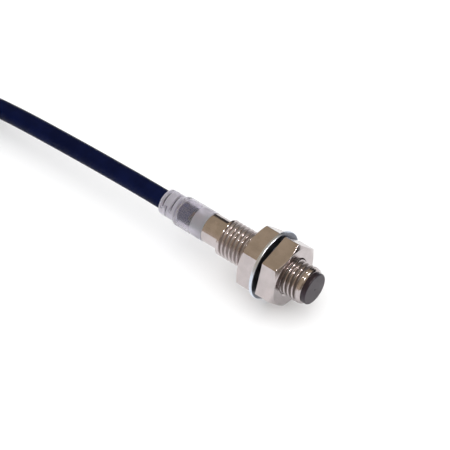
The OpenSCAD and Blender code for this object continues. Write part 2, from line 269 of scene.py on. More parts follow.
class Board:
    """One node tree, with a single way to add a node to it."""

    def __init__(self, tree):
        self.tree = tree

    def node(self, kind, settings=None, inputs=None, output=0):
        """Add a node: its settings first, then the values or links of its sockets."""
        node = self.tree.nodes.new(kind)
        for key, value in (settings or {}).items():
            if key == "stops":
                ramp = node.color_ramp
                while len(ramp.elements) < len(value):
                    ramp.elements.new(0.5)
                for element, (place, tint) in zip(ramp.elements, value):
                    element.position, element.color = place, (*tint, 1.0)
            else:
                setattr(node, key, value)
        for key, value in (inputs or {}).items():
            if isinstance(value, Sock):
                self.tree.links.new(value.socket, node.inputs[key])
            else:
                node.inputs[key].default_value = value
        return Sock(self, node.outputs[output])

    def outputs(self, sock, *names):
        """Other outputs of the node that made a socket."""
        return [Sock(self, sock.socket.node.outputs[name]) for name in names]

    def blend(self, factor, low, high):
        """A colour between two, by a factor."""
        return self.node("ShaderNodeMix", {"data_type": "RGBA"}, {0: factor, 6: (*low, 1), 7: (*high, 1)}, 2)

    def cover(self, factor, below, above):
        """A second colour laid over a colour socket."""
        return self.node("ShaderNodeMix", {"data_type": "RGBA"}, {0: factor, 6: below, 7: (*above, 1)}, 2)

    def between(self, value, low, high):
        """0 to 1 as a value goes from low to high, with soft ends."""
        rising = self.node("ShaderNodeMapRange", {"interpolation_type": "SMOOTHSTEP"},
                           {"Value": value, "From Min": min(low, high), "From Max": max(low, high)})
        return rising if low < high else 1 - rising


class Finish(Board):
    """A material with a Principled shader and the patterns that this sensor's surfaces share."""

    def __init__(self, name, **constants):
        self.material = bpy.data.materials.new(name)
        self.material.use_nodes = True
        super().__init__(self.material.node_tree)
        self.shader = self.tree.nodes["Principled BSDF"]
        for key, value in constants.items():
            self.shader.inputs[key.replace("_", " ").title().replace("Ior", "IOR")].default_value = value
        self.place = self.node("ShaderNodeTexCoord", output="Object")

    def feed(self, name, value):
        self.tree.links.new(value.socket, self.shader.inputs[name])

    def axes(self):
        """The three parts of the place on the object."""
        return self.outputs(self.node("ShaderNodeSeparateXYZ", {}, {0: self.place}), "X", "Y", "Z")

    def stretched(self, scale):
        return self.node("ShaderNodeMapping", {}, {"Vector": self.place, "Scale": scale})

    def noise(self, scale, detail=3.0, roughness=0.55, stretch=None):
        place = self.place if stretch is None else self.stretched(stretch)
        return self.node("ShaderNodeTexNoise", {}, {"Vector": place, "Scale": scale, "Detail": detail,
                                                    "Roughness": roughness})

    def bumped(self, height, distance, strength=1.0):
        self.feed("Normal", self.node("ShaderNodeBump", {}, {"Height": height, "Distance": distance,
                                                            "Strength": strength}))
        return self.material


def shade(rgb, factor):
    return tuple(min(1.0, c * factor) for c in rgb)


def nickel_finish(name, tone, lines, line_height, thread=None, gloss=0.1):
    """Bright plating over machined brass. lines stretches the tool marks across their own direction, and
    thread is the start, the end and the crest radius of a thread, with painted shade in its roots."""
    finish = Finish(name, metallic=1.0, specular_ior_level=0.5)
    cloud = finish.between(finish.noise(420, 4.0), 0.35, 0.65)
    stain = finish.between(finish.noise(1500, 3.0, 0.6), 0.55, 0.75)
    marks = finish.noise(1.0, 2.0, 0.5, lines)
    base = finish.blend(cloud, shade(tone, 0.93), shade(tone, 1.06))
    base = finish.cover(stain * 0.22, base, (tone[0] * 0.86, tone[1] * 0.78, tone[2] * 0.62))
    rough = gloss + cloud * 0.05 + marks * 0.06 + stain * 0.05
    if thread:
        start, end, crest = thread
        x, y, z = finish.axes()
        # painted shade in the thread's roots: darker and rougher below the crests, and stronger towards the
        # front nut
        root_shade = finish.between((y * y + z * z).sqrt(), crest - 0.1 * MM, crest - 0.34 * MM)
        root_shade = root_shade * (x > end + 0.35 * MM) * (x < start - 0.05 * MM)
        root_shade_strength = 0.22 + cloud * 0.14 + finish.between(x, REAR_NUT[1][0], FRONT_NUT[1][0]) * 0.36
        base = finish.cover(root_shade * root_shade_strength, base, (0.08, 0.058, 0.04))
        rough = rough + root_shade * 0.3
    finish.feed("Base Color", base)
    finish.feed("Roughness", rough)
    return finish.bumped(marks, line_height, 0.5)


def moulded_finish(name, tone, roughness, grain=9000, depth=0.006 * MM, **constants):
    """Moulded or sintered stuff: a fine grain, faint mottling and slightly uneven gloss."""
    finish = Finish(name, **constants)
    fine = finish.noise(grain, 2.0)
    patch = finish.between(finish.noise(380, 3.0), 0.3, 0.7)
    finish.feed("Base Color", finish.blend(patch, shade(tone, 0.88), shade(tone, 1.12)))
    finish.feed("Roughness", roughness + patch * 0.07 + fine * 0.06)
    return finish.bumped(fine, depth, 0.6)


def steel_finish(tone, face_x):
    """Zinc-plated spring steel: cool, with punch lines and small dull spots, and painted shade from face_x
    forwards.
    """
    finish = Finish("zinc_steel", metallic=1.0)
    grain = finish.noise(1.0, 3.0, 0.6, (700, 2600, 2600))
    spots = finish.between(finish.noise(2600, 2.0), 0.6, 0.72)
    base = finish.blend(grain, shade(tone, 0.9), shade(tone, 1.08))
    base = finish.cover(spots * 0.3, base, shade(tone, 0.55))
    # painted shade on the washer's front face and teeth, in the gap before the front nut
    gap_shade = finish.between(finish.axes()[0], face_x - 0.08 * MM, face_x - 0.01 * MM)
    finish.feed("Base Color", finish.cover(gap_shade * 0.8, base, (0.03, 0.03, 0.045)))
    finish.feed("Roughness", 0.24 + grain * 0.12 + spots * 0.12)
    return finish.bumped(grain, 0.008 * MM, 0.5)


def clear_finish(name, tone, passing, roughness):
    """Translucent plastic with flow marks from its mould: passing is the share of light that goes through."""
    finish = Finish(name, transmission_weight=passing, ior=1.4)
    flow = finish.noise(1.0, 3.0, 0.6, (260, 900, 900))
    fine = finish.noise(6000, 2.0)
    finish.feed("Base Color", finish.blend(flow, shade(tone, 0.94), tone))
    finish.feed("Roughness", roughness + flow * 0.08 + fine * 0.03)
    return finish.bumped(flow + fine * 0.2, 0.005 * MM, 0.4)


def jacket_finish(tone):
    """Extruded vinyl: faint lengthwise drawing lines, talc-dulled patches and a soft gloss."""
    finish = Finish("vinyl_jacket", ior=1.14)
    drawn = finish.noise(1.0, 2.0, 0.5, (60, 2600, 2600))
    patch = finish.between(finish.noise(240, 4.0), 0.35, 0.7)
    finish.feed("Base Color", finish.blend(patch, tone, shade(tone, 1.5)))
    finish.feed("Roughness", 0.34 + patch * 0.12 + drawn * 0.05)
    return finish.bumped(drawn + finish.noise(5200, 2.0) * 0.5, 0.01 * MM, 0.6)


def board_finish():
    """Green solder mask with copper tracks under it."""
    finish = Finish("solder_mask", coat_weight=0.3, coat_roughness=0.2)
    tracks = finish.node("ShaderNodeTexBrick", {"offset": 0.5}, {
        "Vector": finish.place, "Scale": 420.0, "Mortar Size": 0.06, "Color1": (0, 0, 0, 1),
        "Color2": (0.1, 0.1, 0.1, 1), "Mortar": (1, 1, 1, 1)}, "Fac")
    weave = finish.noise(4200, 2.0)
    finish.feed("Base Color", finish.blend(tracks, (0.02, 0.13, 0.06), (0.07, 0.3, 0.13)))
    finish.feed("Roughness", 0.35 + weave * 0.12)
    return finish.bumped(tracks * 0.6 + weave * 0.2, 0.02 * MM)


def winding_finish():
    """Fine enamelled wire wound round X."""
    finish = Finish("wound_copper", metallic=1.0)
    wires = (finish.axes()[0] * (TURN / (0.08 * MM))).sin().abs()
    finish.feed("Base Color", finish.blend(wires, (0.3, 0.1, 0.04), (0.72, 0.34, 0.16)))
    finish.feed("Roughness", 0.32 - wires * 0.08)
    return finish.bumped(wires, 0.03 * MM)


def tie_finish():
    """Woven hook-and-loop band."""
    finish = Finish("tie_band", sheen_weight=0.3)
    weft = finish.node("ShaderNodeTexWave", {"bands_direction": "X"}, {"Vector": finish.place, "Scale": 900.0,
                                                                       "Distortion": 1.5, "Detail": 2.0})
    loops = finish.noise(2600, 3.0)
    height = weft * 0.6 + loops * 0.6
    finish.feed("Base Color", finish.blend(height, (0.012, 0.012, 0.014), (0.05, 0.05, 0.055)))
    finish.feed("Roughness", 0.8 + loops * 0.15)
    return finish.bumped(height, 0.12 * MM)


def strand_finish():
    """Tinned copper strands."""
    finish = Finish("tinned_strands", metallic=1.0)
    dull = finish.noise(2400, 3.0)
    finish.feed("Base Color", finish.blend(dull, (0.56, 0.55, 0.54), (0.8, 0.8, 0.8)))
    finish.feed("Roughness", 0.3 + dull * 0.2)
    return finish.bumped(dull, 0.02 * MM)


def paper_finish(name, tone, shadow=0.0):
    """Plain paper with a barely seen tooth, and a soft shadow under the sensor's front end."""
    finish = Finish(name, specular_ior_level=0.0)
    x, y = finish.axes()[:2]
    dx, dy = x + 4 * MM, y + 1.5 * MM
    away = (dx * dx + dy * dy).sqrt()
    tooth = finish.noise(900, 2.0)
    paper = finish.blend(tooth, shade(tone, 0.995), tone)
    dark = finish.between(away, 10 * MM, 0.5 * MM) * shadow
    finish.feed("Base Color", finish.cover(dark, paper, (0.02, 0.018, 0.015)))
    finish.feed("Roughness", 0.85 + tooth * 0.05)
    return finish.material


# ----------------------------------------------------- geometry node trees

class Tree(Board):
    """A geometry node group with named inputs."""

    def __init__(self, name, sockets):
        group = bpy.data.node_groups.new(name, "GeometryNodeTree")
        super().__init__(group)
        group.interface.new_socket("Geometry", in_out="OUTPUT", socket_type="NodeSocketGeometry")
        group.interface.new_socket("Geometry", in_out="INPUT", socket_type="NodeSocketGeometry")
        for label, kind in sockets.items():
            group.interface.new_socket(label, in_out="INPUT", socket_type=kind)
        self.entry = group.nodes.new("NodeGroupInput")
        self.exit = group.nodes.new("NodeGroupOutput")

    def given(self, label):
        return Sock(self, self.entry.outputs[label])

    def finish_with(self, geometry):
        """Realize, set the material and close the tree."""
        real = self.node("GeometryNodeRealizeInstances", {}, {"Geometry": geometry})
        painted = self.node("GeometryNodeSetMaterial", {},
                            {"Geometry": real, "Material": self.given("Material")})
        self.tree.links.new(painted.socket, self.exit.inputs[0])
        return self.tree


def grown(name, mesh, tree, values, crease=35):
    """Run a tree on a mesh and return the result as a plain mesh."""
    helper = bpy.data.objects.new(name + "_maker", mesh)
    bpy.context.scene.collection.objects.link(helper)
    modifier = helper.modifiers.new("maker", "NODES")
    modifier.node_group = tree
    identifiers = {item.name: item.identifier for item in tree.interface.items_tree
                   if item.item_type == "SOCKET" and item.in_out == "INPUT"}
    for label, value in values.items():
        modifier[identifiers[label]] = value
    bpy.context.view_layer.update()
    evaluated = helper.evaluated_get(bpy.context.evaluated_depsgraph_get())
    result = bpy.data.meshes.new_from_object(evaluated)
    result.name = name
    bpy.data.objects.remove(helper)
    result.shade_smooth()
    result.set_sharp_from_angle(angle=radians(crease))
    return result


def thread_tree():
    """Cuts a right-hand thread into the outer wall of a bar that lies on X, between Start and End."""
    sockets = dict.fromkeys(("Start", "End", "Pitch", "Depth", "Crest Radius"), "NodeSocketFloat")
    tree = Tree("Cut Thread", {**sockets, "Material": "NodeSocketMaterial"})
    place = tree.node("GeometryNodeInputPosition")
    split = tree.node("ShaderNodeSeparateXYZ", {}, {0: place}, "X")
    x, y, z = tree.outputs(split, "X", "Y", "Z")
    radius = (y * y + z * z).sqrt()
    phase = ((x - tree.given("Start")) / tree.given("Pitch") - z.angle_to(y) / TURN).fract()
    from_crest = (phase - 0.5).abs() * 2
    rounded = tree.node("ShaderNodeMapRange", {"interpolation_type": "SMOOTHSTEP"},
                        {"Value": from_crest, "From Min": 0.05, "From Max": 0.9})
    straight = tree.node("ShaderNodeMapRange", {}, {"Value": from_crest, "From Min": 0.12, "From Max": 0.84})
    groove = rounded * 0.35 + straight * 0.65
    run_in = tree.node("ShaderNodeMapRange", {"interpolation_type": "SMOOTHSTEP"},
                       {"Value": tree.given("Start") - x, "From Min": 0.0, "From Max": 0.35 * MM})
    run_out = tree.node("ShaderNodeMapRange", {"interpolation_type": "SMOOTHSTEP"},
                        {"Value": x - tree.given("End"), "From Min": 0.0, "From Max": 0.9 * MM})
    on_wall = radius > tree.given("Crest Radius") - 0.02 * MM
    share = groove * run_in * run_out * on_wall * tree.given("Depth") / radius
    offset = tree.node("ShaderNodeCombineXYZ", {}, {1: y * share * -1, 2: z * share * -1})
    moved = tree.node("GeometryNodeSetPosition", {}, {"Geometry": tree.given("Geometry"), "Offset": offset})
    return tree.finish_with(moved)


def tooth_tree():
    """Sets twisted teeth inside a ring that stands on X."""
    sockets = dict.fromkeys(("Radius", "Middle", "Length", "Width", "Thickness", "Twist"), "NodeSocketFloat")
    tree = Tree("Washer Teeth", {"Teeth": "NodeSocketInt", **sockets, "Material": "NodeSocketMaterial"})
    size = tree.node("ShaderNodeCombineXYZ", {}, {0: tree.given("Thickness"), 1: tree.given("Width"),
                                                  2: tree.given("Length")})
    tooth = tree.node("GeometryNodeMeshCube", {},
                      {"Size": size, "Vertices X": 2, "Vertices Y": 5, "Vertices Z": 7})
    twist = tree.node("ShaderNodeCombineXYZ", {}, {2: tree.given("Twist")})
    tooth = tree.node("GeometryNodeTransform", {}, {"Geometry": tooth, "Rotation": twist})
    dots = tree.node("GeometryNodeMeshLine", {}, {"Count": tree.given("Teeth"), "Offset": (0, 0, 0)})
    index = tree.node("GeometryNodeInputIndex")
    angle = index * TURN / tree.given("Teeth")
    turn = tree.node("ShaderNodeCombineXYZ", {}, {0: angle})
    reach = tree.given("Radius") + tree.given("Length") / 2
    cosine = tree.node("ShaderNodeMath", {"operation": "COSINE"}, {0: angle})
    place = tree.node("ShaderNodeCombineXYZ", {}, {0: tree.given("Middle"), 1: angle.sin() * reach * -1,
                                                   2: cosine * reach})
    dots = tree.node("GeometryNodeSetPosition", {}, {"Geometry": dots, "Position": place})
    teeth = tree.node("GeometryNodeInstanceOnPoints", {},
                      {"Points": dots, "Instance": tooth, "Rotation": turn})
    teeth = tree.node("GeometryNodeRealizeInstances", {}, {"Geometry": teeth})
    join = tree.tree.nodes.new("GeometryNodeJoinGeometry")
    for part in (tree.given("Geometry"), teeth):
        tree.tree.links.new(part.socket, join.inputs[0])
    return tree.finish_with(Sock(tree, join.outputs[0]))


# --------------------------------------------------------------- the parts

def sizes():
    return bpy.context.scene.sensor_sizes


def colours():
    return bpy.context.scene.sensor_colours


def made(name, maker):
    """A material by name, made the first time that a part asks for it."""
    return bpy.data.materials.get(name) or maker()


def jacket():
    return made("vinyl_jacket", lambda: jacket_finish(colours().jacket))


def core_material(label):
    return made("core_" + label, lambda: moulded_finish("core_" + label, getattr(colours(), label), 0.4))


class SENSOR_OT_camera(Operator):
    """Place the camera that looks down on the sensor from its front left"""
    bl_idname = "sensor.camera"
    bl_label = "Camera"

    def execute(self, context):
        stage = context.scene.sensor_stage
        a, e = stage.azimuth, stage.elevation
        right = Vector((cos(a), sin(a), 0))
        up = Vector((-sin(a) * sin(e), cos(a) * sin(e), cos(e)))
        out = Vector((sin(a) * cos(e), -cos(a) * cos(e), sin(e)))
        target = up * stage.aim_up - right * stage.aim_right
        data = bpy.data.cameras.new("camera")
        data.lens, data.sensor_width = stage.lens, 36.0
        data.clip_start, data.clip_end = 0.005, 20.0
        camera = bpy.data.objects.new("camera", data)
        camera.location = target + out * stage.distance
        lean = Quaternion((0, 0, 1), stage.roll)
        camera.rotation_euler = (out.to_track_quat("Z", "Y") @ lean).to_euler()
        context.scene.collection.objects.link(camera)
        context.scene.camera = camera
        return {"FINISHED"}


# the cable's route from the sleeve to the hank, in millimetres from the sleeve's end
LEAD_ROUTE = [(0, 0, 0), (-7, 0, 0), (-15, 0, -0.2), (-23, 0, -0.5), (-31, 0, -0.9), (-39, 0, -1.4),
              (-46, 0, -2.1), (-53, 0, -3.2), (-60, 0, -4.4), (-67, 0, -5.2), (-74, 0, -5.1), (-84, 0, -4.7)]

# how far the hank's front lies behind the sleeve, its straight stretch and its tightest bend
HANK_FRONT = -61.5 * MM
HANK_STRAIGHT = 30.4 * MM
HANK_INNER = 12.6 * MM
HANK_COLUMNS, HANK_LAYERS = 3, 4
TIE_THICKNESS, TIE_WIDTH = 0.8 * MM, 7 * MM

# where the jacket ends, from the hank's front bends, and the lengths of the free cores and bared tips
TAIL_END = -21 * MM
CORE_LENGTH, TIP_LENGTH = 20 * MM, 5 * MM


def hank_plan():
    """The hank's outer bend radius, the x of its front bends, its middle y and its first layer's height."""
    d = sizes().cable_diameter
    outer = HANK_INNER + (HANK_COLUMNS - 1) * d
    bend_x = EXIT_X + HANK_FRONT - outer - d / 2
    return outer, bend_x, -outer, FLOOR_Z + TIE_THICKNESS + d / 2


def eased(t):
    return t * t * (3 - 2 * t)


def hank_run():
    """The folded turns: out and back round two bends, stepping a column or a layer in each second bend."""
    d = sizes().cable_diameter
    bend_x, y0, z0 = hank_plan()[1:]
    tracks = []
    for layer in range(HANK_LAYERS):
        columns = range(HANK_COLUMNS) if layer % 2 else reversed(range(HANK_COLUMNS))
        tracks += [(HANK_INNER + column * d, z0 + layer * d) for column in columns]
    run, bends = [], 24
    for i, (r, z) in enumerate(tracks):
        next_r, next_z = tracks[min(i + 1, len(tracks) - 1)]
        for k in range(6):
            run.append(Vector((bend_x - HANK_STRAIGHT * k / 6, y0 + r, z)))
        for k in range(bends):
            a = pi / 2 + pi * k / bends
            run.append(Vector((bend_x - HANK_STRAIGHT + r * cos(a), y0 + r * sin(a), z)))
        if i == len(tracks) - 1:
            run += [Vector((bend_x - HANK_STRAIGHT + s, y0 - r, z)) for s in (0, 3 * MM, 6 * MM)]
            run.append(Vector((bend_x + TAIL_END, y0 - r, z)))
            return run
        for k in range(6):
            run.append(Vector((bend_x - HANK_STRAIGHT * (1 - k / 6), y0 - r, z)))
        for k in range(bends):
            t = eased(k / bends)
            here, a = r + (next_r - r) * t, -pi / 2 + pi * k / bends
            run.append(Vector((bend_x + here * cos(a), y0 + here * sin(a), z + (next_z - z) * t)))


class SENSOR_OT_cable(Operator):
    """Lay the cable: out of the sleeve, down to the floor and into its tied hank"""
    bl_idname = "sensor.cable"
    bl_label = "Cable"

    def execute(self, context):
        lead = [Vector(p) * MM + Vector((EXIT_X, 0, 0)) for p in LEAD_ROUTE]
        points = smooth_path(lead)[:-1] + hank_run()
        curve = tube_curve("cable", points, sizes().cable_diameter / 2)
        cable = finished("cable", curve, jacket(), SENSOR)
        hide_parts("cable_lead", "cable_hank", "cable_tail")
        pieces = [hank_tie()] + free_cores()
        return {"FINISHED"}


def hank_tie():
    """A woven band round the middle of the hank."""
    outer, bend_x, y0 = hank_plan()[:3]
    d = sizes().cable_diameter
    half_y, half_z = outer + d / 2 + TIE_THICKNESS / 2, HANK_LAYERS * d / 2 + TIE_THICKNESS / 2
    middle = Vector((bend_x - HANK_STRAIGHT / 2, y0, FLOOR_Z + TIE_THICKNESS + HANK_LAYERS * d / 2))
    corner, sections = 2.2 * MM, []
    for qy, qz, start in ((1, 1, 0), (-1, 1, 90), (-1, -1, 180), (1, -1, 270)):
        for k in range(9):
            a = radians(start + 90 * k / 8)
            normal = Vector((0, cos(a), sin(a)))
            spot = middle + Vector((0, qy * (half_y - corner), qz * (half_z - corner))) + normal * corner
            wide, thick = Vector((TIE_WIDTH / 2, 0, 0)), normal * TIE_THICKNESS / 2
            soft = wide * 0.96
            sections.append([spot - wide, spot - soft + thick, spot + soft + thick, spot + wide,
                             spot + soft - thick, spot - soft - thick])
    band = loft("hank_band", sections, closed_path=True)
    tie = finished("hank_band", band, made("tie_band", tie_finish), SENSOR)
    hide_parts("hank_tie")
    return tie


def free_cores():
    """The three insulated cores past the jacket's end, with bared and tinned tips."""
    outer, bend_x, y0, z0 = hank_plan()
    d, r = sizes().cable_diameter, sizes().core_diameter / 2
    start = Vector((bend_x + TAIL_END, y0 - outer, z0 + (HANK_LAYERS - 1) * d))
    spread = 0.75 * MM
    pieces, tips = [], []
    for label, y, z in (("brown", -1, -0.5), ("blue", 1, -0.5), ("black", 0, 1)):
        points = []
        for k in range(25):
            t = k / 24
            sway = 0.18 * MM * sin(pi * t) * sin(5 * t + y * 2)
            points.append(start + Vector((CORE_LENGTH * t - 0.2 * MM, y * spread + sway, z * spread)))
        core = finished("free_core_" + label, tube_curve("free_core_" + label, points, r, 3),
                        core_material(label), SENSOR)
        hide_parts("tail_" + label)
        pieces.append(core)
        tips.append(points[-1])
    bm = bmesh.new()
    for tip in tips:
        rings = []
        for k in range(13):
            twist, taper = k * 0.45, 1 if k < 12 else 0.7
            rings.append([bm.verts.new(tip + Vector((
                TIP_LENGTH * k / 12, *(0.35 * MM * taper * (0.84 + 0.16 * abs(cos(3 * a)))
                                       * Vector((cos(a + twist), sin(a + twist)))))))
                for a in even_angles(36)])
        for low, high in zip(rings, rings[1:]):
            for k in range(36):
                bm.faces.new((low[k], low[(k + 1) % 36], high[(k + 1) % 36], high[k]))
        bm.faces.new(rings[0])
        bm.faces.new(rings[-1])
    strands = made("tinned_strands", strand_finish)
    ends = finished("bared_tips", mesh_from("bared_tips", bm, 50), strands, SENSOR)
    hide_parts("core_tips")
    return pieces + [ends]


class SENSOR_OT_barrel(Operator):
    """Turn the plated barrel and cut its thread"""
    bl_idname = "sensor.barrel"
    bl_label = "Barrel"

    def execute(self, context):
        s = sizes()
        front, rear = BARREL[1][0], BARREL[0][0]
        start, end = front - s.front_ring, rear + s.neck
        r, ring = s.thread_radius, s.thread_radius - 0.1 * MM
        steps = round((start - end) / s.thread_pitch * 20)
        wall = [(start - (start - end) * k / steps, r, 0) for k in range(steps + 1)]
        corners = [(front, s.bore_radius, 0.05 * MM), (front, ring - 0.35 * MM, 0.08 * MM),
                   (front - 0.35 * MM, ring, 0.1 * MM), (start, ring, 0.05 * MM), *wall,
                   (end, s.neck_radius, 0.12 * MM), (rear, s.neck_radius, 0.1 * MM),
                   (rear, s.bore_radius, 0.05 * MM)]
        blank = turned("barrel_blank", corners, 96, 50)
        finish = nickel_finish("plated_barrel", colours().nickel, (9000, 260, 260), 0.004 * MM,
                               (start, end, r))
        mesh = grown("threaded_barrel", blank, thread_tree(), {
            "Start": start, "End": end, "Pitch": s.thread_pitch, "Depth": s.thread_depth,
            "Crest Radius": r, "Material": finish}, 50)
        barrel = finished("threaded_barrel", mesh, finish, SENSOR)
        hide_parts("barrel")
        return {"FINISHED"}


class SENSOR_OT_cap(Operator):
    """Mould the sensing cap"""
    bl_idname = "sensor.cap"
    bl_label = "Sensing cap"

    def execute(self, context):
        low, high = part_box("sensing_cap")
        front, radius, rim_x = high[0], high[2], BARREL[1][0]
        back_x = front - 0.6 * MM
        sleeve, inner = sizes().bore_radius - FIT, sizes().bore_radius - 0.4 * MM
        corners = [(front - 0.15 * MM, 0, 0), (front - 0.13 * MM, 0.1 * MM, 0), (front, 0.24 * MM, 0.05 * MM),
                   (front, radius, 0.3 * MM), (rim_x, radius, 0.06 * MM), (rim_x, sleeve, 0),
                   (low[0], sleeve, 0.1 * MM), (low[0], inner, 0.1 * MM), (back_x, inner, 0), (back_x, 0, 0)]
        finish = made("cap_moulding", lambda: moulded_finish(
            "cap_moulding", colours().cap, 0.28, 5200, 0.008 * MM, specular_ior_level=0.55,
            specular_tint=(1, 0.86, 0.95, 1)))
        cap = finished("face_cap", turned("face_cap", corners, 96), finish, SENSOR)
        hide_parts("sensing_cap")
        return {"FINISHED"}


def hexagon_radius(angle, flats, corner):
    """Radius of a hexagon with slightly rounded corners, a corner lying at angle 0."""
    off = abs((angle + pi / 6) % (pi / 3) - pi / 6)

    def flat(turn):
        return flats / 2 / cos(pi / 6 - turn)

    if off >= corner:
        return flat(off)
    slope = -flats / 2 * sin(pi / 6 - corner) / cos(pi / 6 - corner) ** 2
    return flat(corner) + slope * (off * off - corner * corner) / (2 * corner)


def nut_angles(corner):
    """Angles close together at the six corners and even along the flats."""
    near = [f * corner for f in (0, 0.35, 0.7, 1.0, 1.25)]
    rest = [radians(d) for d in range(4, 30, 4)]
    half = sorted(set(near + rest))
    sector = [-a for a in reversed(half[1:])] + half + [radians(30)]
    return [k * pi / 3 + a for k in range(6) for a in sector]


def nut_mesh(name, box, chamfer_forward):
    """A hexagon nut with one chamfered face, a bevelled mouth at both ends and a plain washer face."""
    s = sizes()
    thick = box[1][0] - box[0][0]
    face, bore = s.nut_flats / 2 * 0.98, s.thread_radius + 0.03 * MM
    mouth, corner = bore + 0.3 * MM, radians(1.6)

    def outline(angle):
        outer = hexagon_radius(angle, s.nut_flats, corner)
        shoulder = thick - (outer - face) * tan(radians(30))
        points = softened([(0, outer, s.edge_break * 0.7), (shoulder, outer, s.edge_break),
                           (thick, face, s.edge_break), (thick, mouth, 0.05 * MM),
                           (thick - 0.3 * MM, bore, 0.05 * MM), (0.3 * MM, bore, 0.05 * MM),
                           (0, mouth, 0.05 * MM)])
        if chamfer_forward:
            return [(box[0][0] + x, r) for x, r in points]
        return [(box[1][0] - x, r) for x, r in points]

    mesh = ring_solid(name, nut_angles(corner), outline, 40)
    roll = s.nut_roll + pi / 2
    for vertex in mesh.vertices:
        y, z = vertex.co.y, vertex.co.z
        vertex.co.y, vertex.co.z = y * cos(roll) - z * sin(roll), y * sin(roll) + z * cos(roll)
    return mesh


class SENSOR_OT_nuts(Operator):
    """Mill the two hexagon nuts"""
    bl_idname = "sensor.nuts"
    bl_label = "Nuts"

    def execute(self, context):
        finish = made("plated_nut", lambda: nickel_finish(
            "plated_nut", colours().nickel, (500, 2400, 2400), 0.006 * MM, gloss=0.13))
        for node, box, forward in (("front_nut", FRONT_NUT, True), ("rear_nut", REAR_NUT, False)):
            nut = finished(node + "_milled", nut_mesh(node + "_milled", box, forward), finish, node)
            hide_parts(node)
        return {"FINISHED"}


class SENSOR_OT_washer(Operator):
    """Punch the toothed lock washer"""
    bl_idname = "sensor.washer"
    bl_label = "Lock washer"

    def execute(self, context):
        s = sizes()
        rear, radius = REAR_NUT[1][0] + FIT, WASHER[1][2]
        front, inner = rear + 0.7 * MM, 5.3 * MM
        ring = turned("washer_ring", [(rear, inner, 0.05 * MM), (rear, radius, 0.15 * MM),
                                      (front, radius, 0.3 * MM), (front, inner, 0.05 * MM)], 120)
        finish = made("zinc_steel", lambda: steel_finish(colours().steel, front))
        mesh = grown("toothed_washer", ring, tooth_tree(), {
            "Teeth": s.washer_teeth, "Radius": 4.25 * MM, "Middle": (REAR_NUT[1][0] + FRONT_NUT[0][0]) / 2,
            "Length": 1.1 * MM, "Width": 1.9 * MM, "Thickness": 0.45 * MM, "Twist": radians(24),
            "Material": finish})
        washer = finished("toothed_washer", mesh, finish, "lock_washer")
        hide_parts("lock_washer")
        return {"FINISHED"}


class SENSOR_OT_sleeve(Operator):
    """Mould the clear sleeve with the slots of its cable grip"""
    bl_idname = "sensor.sleeve"
    bl_label = "Clear sleeve"

    def execute(self, context):
        s = sizes()
        rear, front = SLEEVE[0][0], BARREL[0][0]
        spigot_front = SLEEVE[1][0]
        wide, grip, step_x = 3.3 * MM, 2.825 * MM, front - 7.8 * MM
        hold, spigot = s.cable_diameter / 2 + FIT, s.bore_radius - FIT
        inner, spigot_inner = wide - 0.55 * MM, spigot - 0.42 * MM
        floor_r, half, flank = hold + 0.12 * MM, 0.25 * MM, 0.05 * MM
        shoulder_x, veil_x = step_x + 0.4 * MM, front - 3.0 * MM
        places = [step_x - d * MM for d in (0.9, 2.1, 3.05)]
        slot_start, slot_turn, slot_arc = 55, 90, 110
        slots = []
        for x in places:
            slots += [(x + half + flank, None), (x + half, x), (x - half, x), (x - half - flank, None)]

        def in_slot(number, angle):
            """Whether a slot of the grip is open at an angle: two arcs each, turned from one to the next."""
            return (degrees(angle) - slot_turn * number - slot_start) % 180 < slot_arc

        def outline(angle):
            corners = [(spigot_front, spigot_inner, 0), (spigot_front, spigot, 0.08 * MM), (front, spigot, 0),
                       (front, wide, 0.12 * MM), (veil_x, wide, 0), (shoulder_x, wide, 0.25 * MM),
                       (step_x, grip, 0.2 * MM)]
            for x, slot_x in slots:
                cut = slot_x is not None and in_slot(places.index(slot_x), angle)
                corners.append((x, floor_r if cut else grip, 0))
            corners += [(rear + 0.35 * MM, grip, 0.1 * MM), (rear, grip - 0.12 * MM, 0.08 * MM),
                        (rear, hold, 0.04 * MM), (shoulder_x, hold, 0), (step_x + 1.0 * MM, inner, 0.2 * MM),
                        (veil_x, inner, 0), (front - 0.4 * MM, inner, 0.1 * MM),
                        (front - 0.1 * MM, spigot_inner, 0)]
            return softened(corners)

        mesh = ring_solid("frosted_sleeve", even_angles(144), outline, 40)
        tone = colours().clear
        clear = clear_finish("clear_plastic", shade(tone, 0.93), 0.94, 0.2)
        sleeve = finished("frosted_sleeve", mesh, clear, SENSOR)
        mesh.materials.append(clear_finish("frosted_plastic", tone, 0.75, 0.3))
        mesh.materials.append(clear_finish("milky_plastic", shade(tone, 0.85), 0.78, 0.3))
        # the slot bottoms get a dark finish: the dark jacket seen through them, and painted shade in the
        # slots
        mesh.materials.append(moulded_finish("slot_bottom", (0.05, 0.05, 0.075), 0.5))
        plain, frosted, milky, shaded_slot = range(4)
        for face in mesh.polygons:
            x, y, z = face.center
            if hold < hypot(y, z) < floor_r + 0.2 * MM and places[-1] - half < x < places[0] + half:
                face.material_index = shaded_slot
            elif x > veil_x:
                face.material_index = milky
            else:
                face.material_index = frosted if x < step_x + 0.3 * MM else plain
        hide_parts("clear_sleeve")
        return {"FINISHED"}


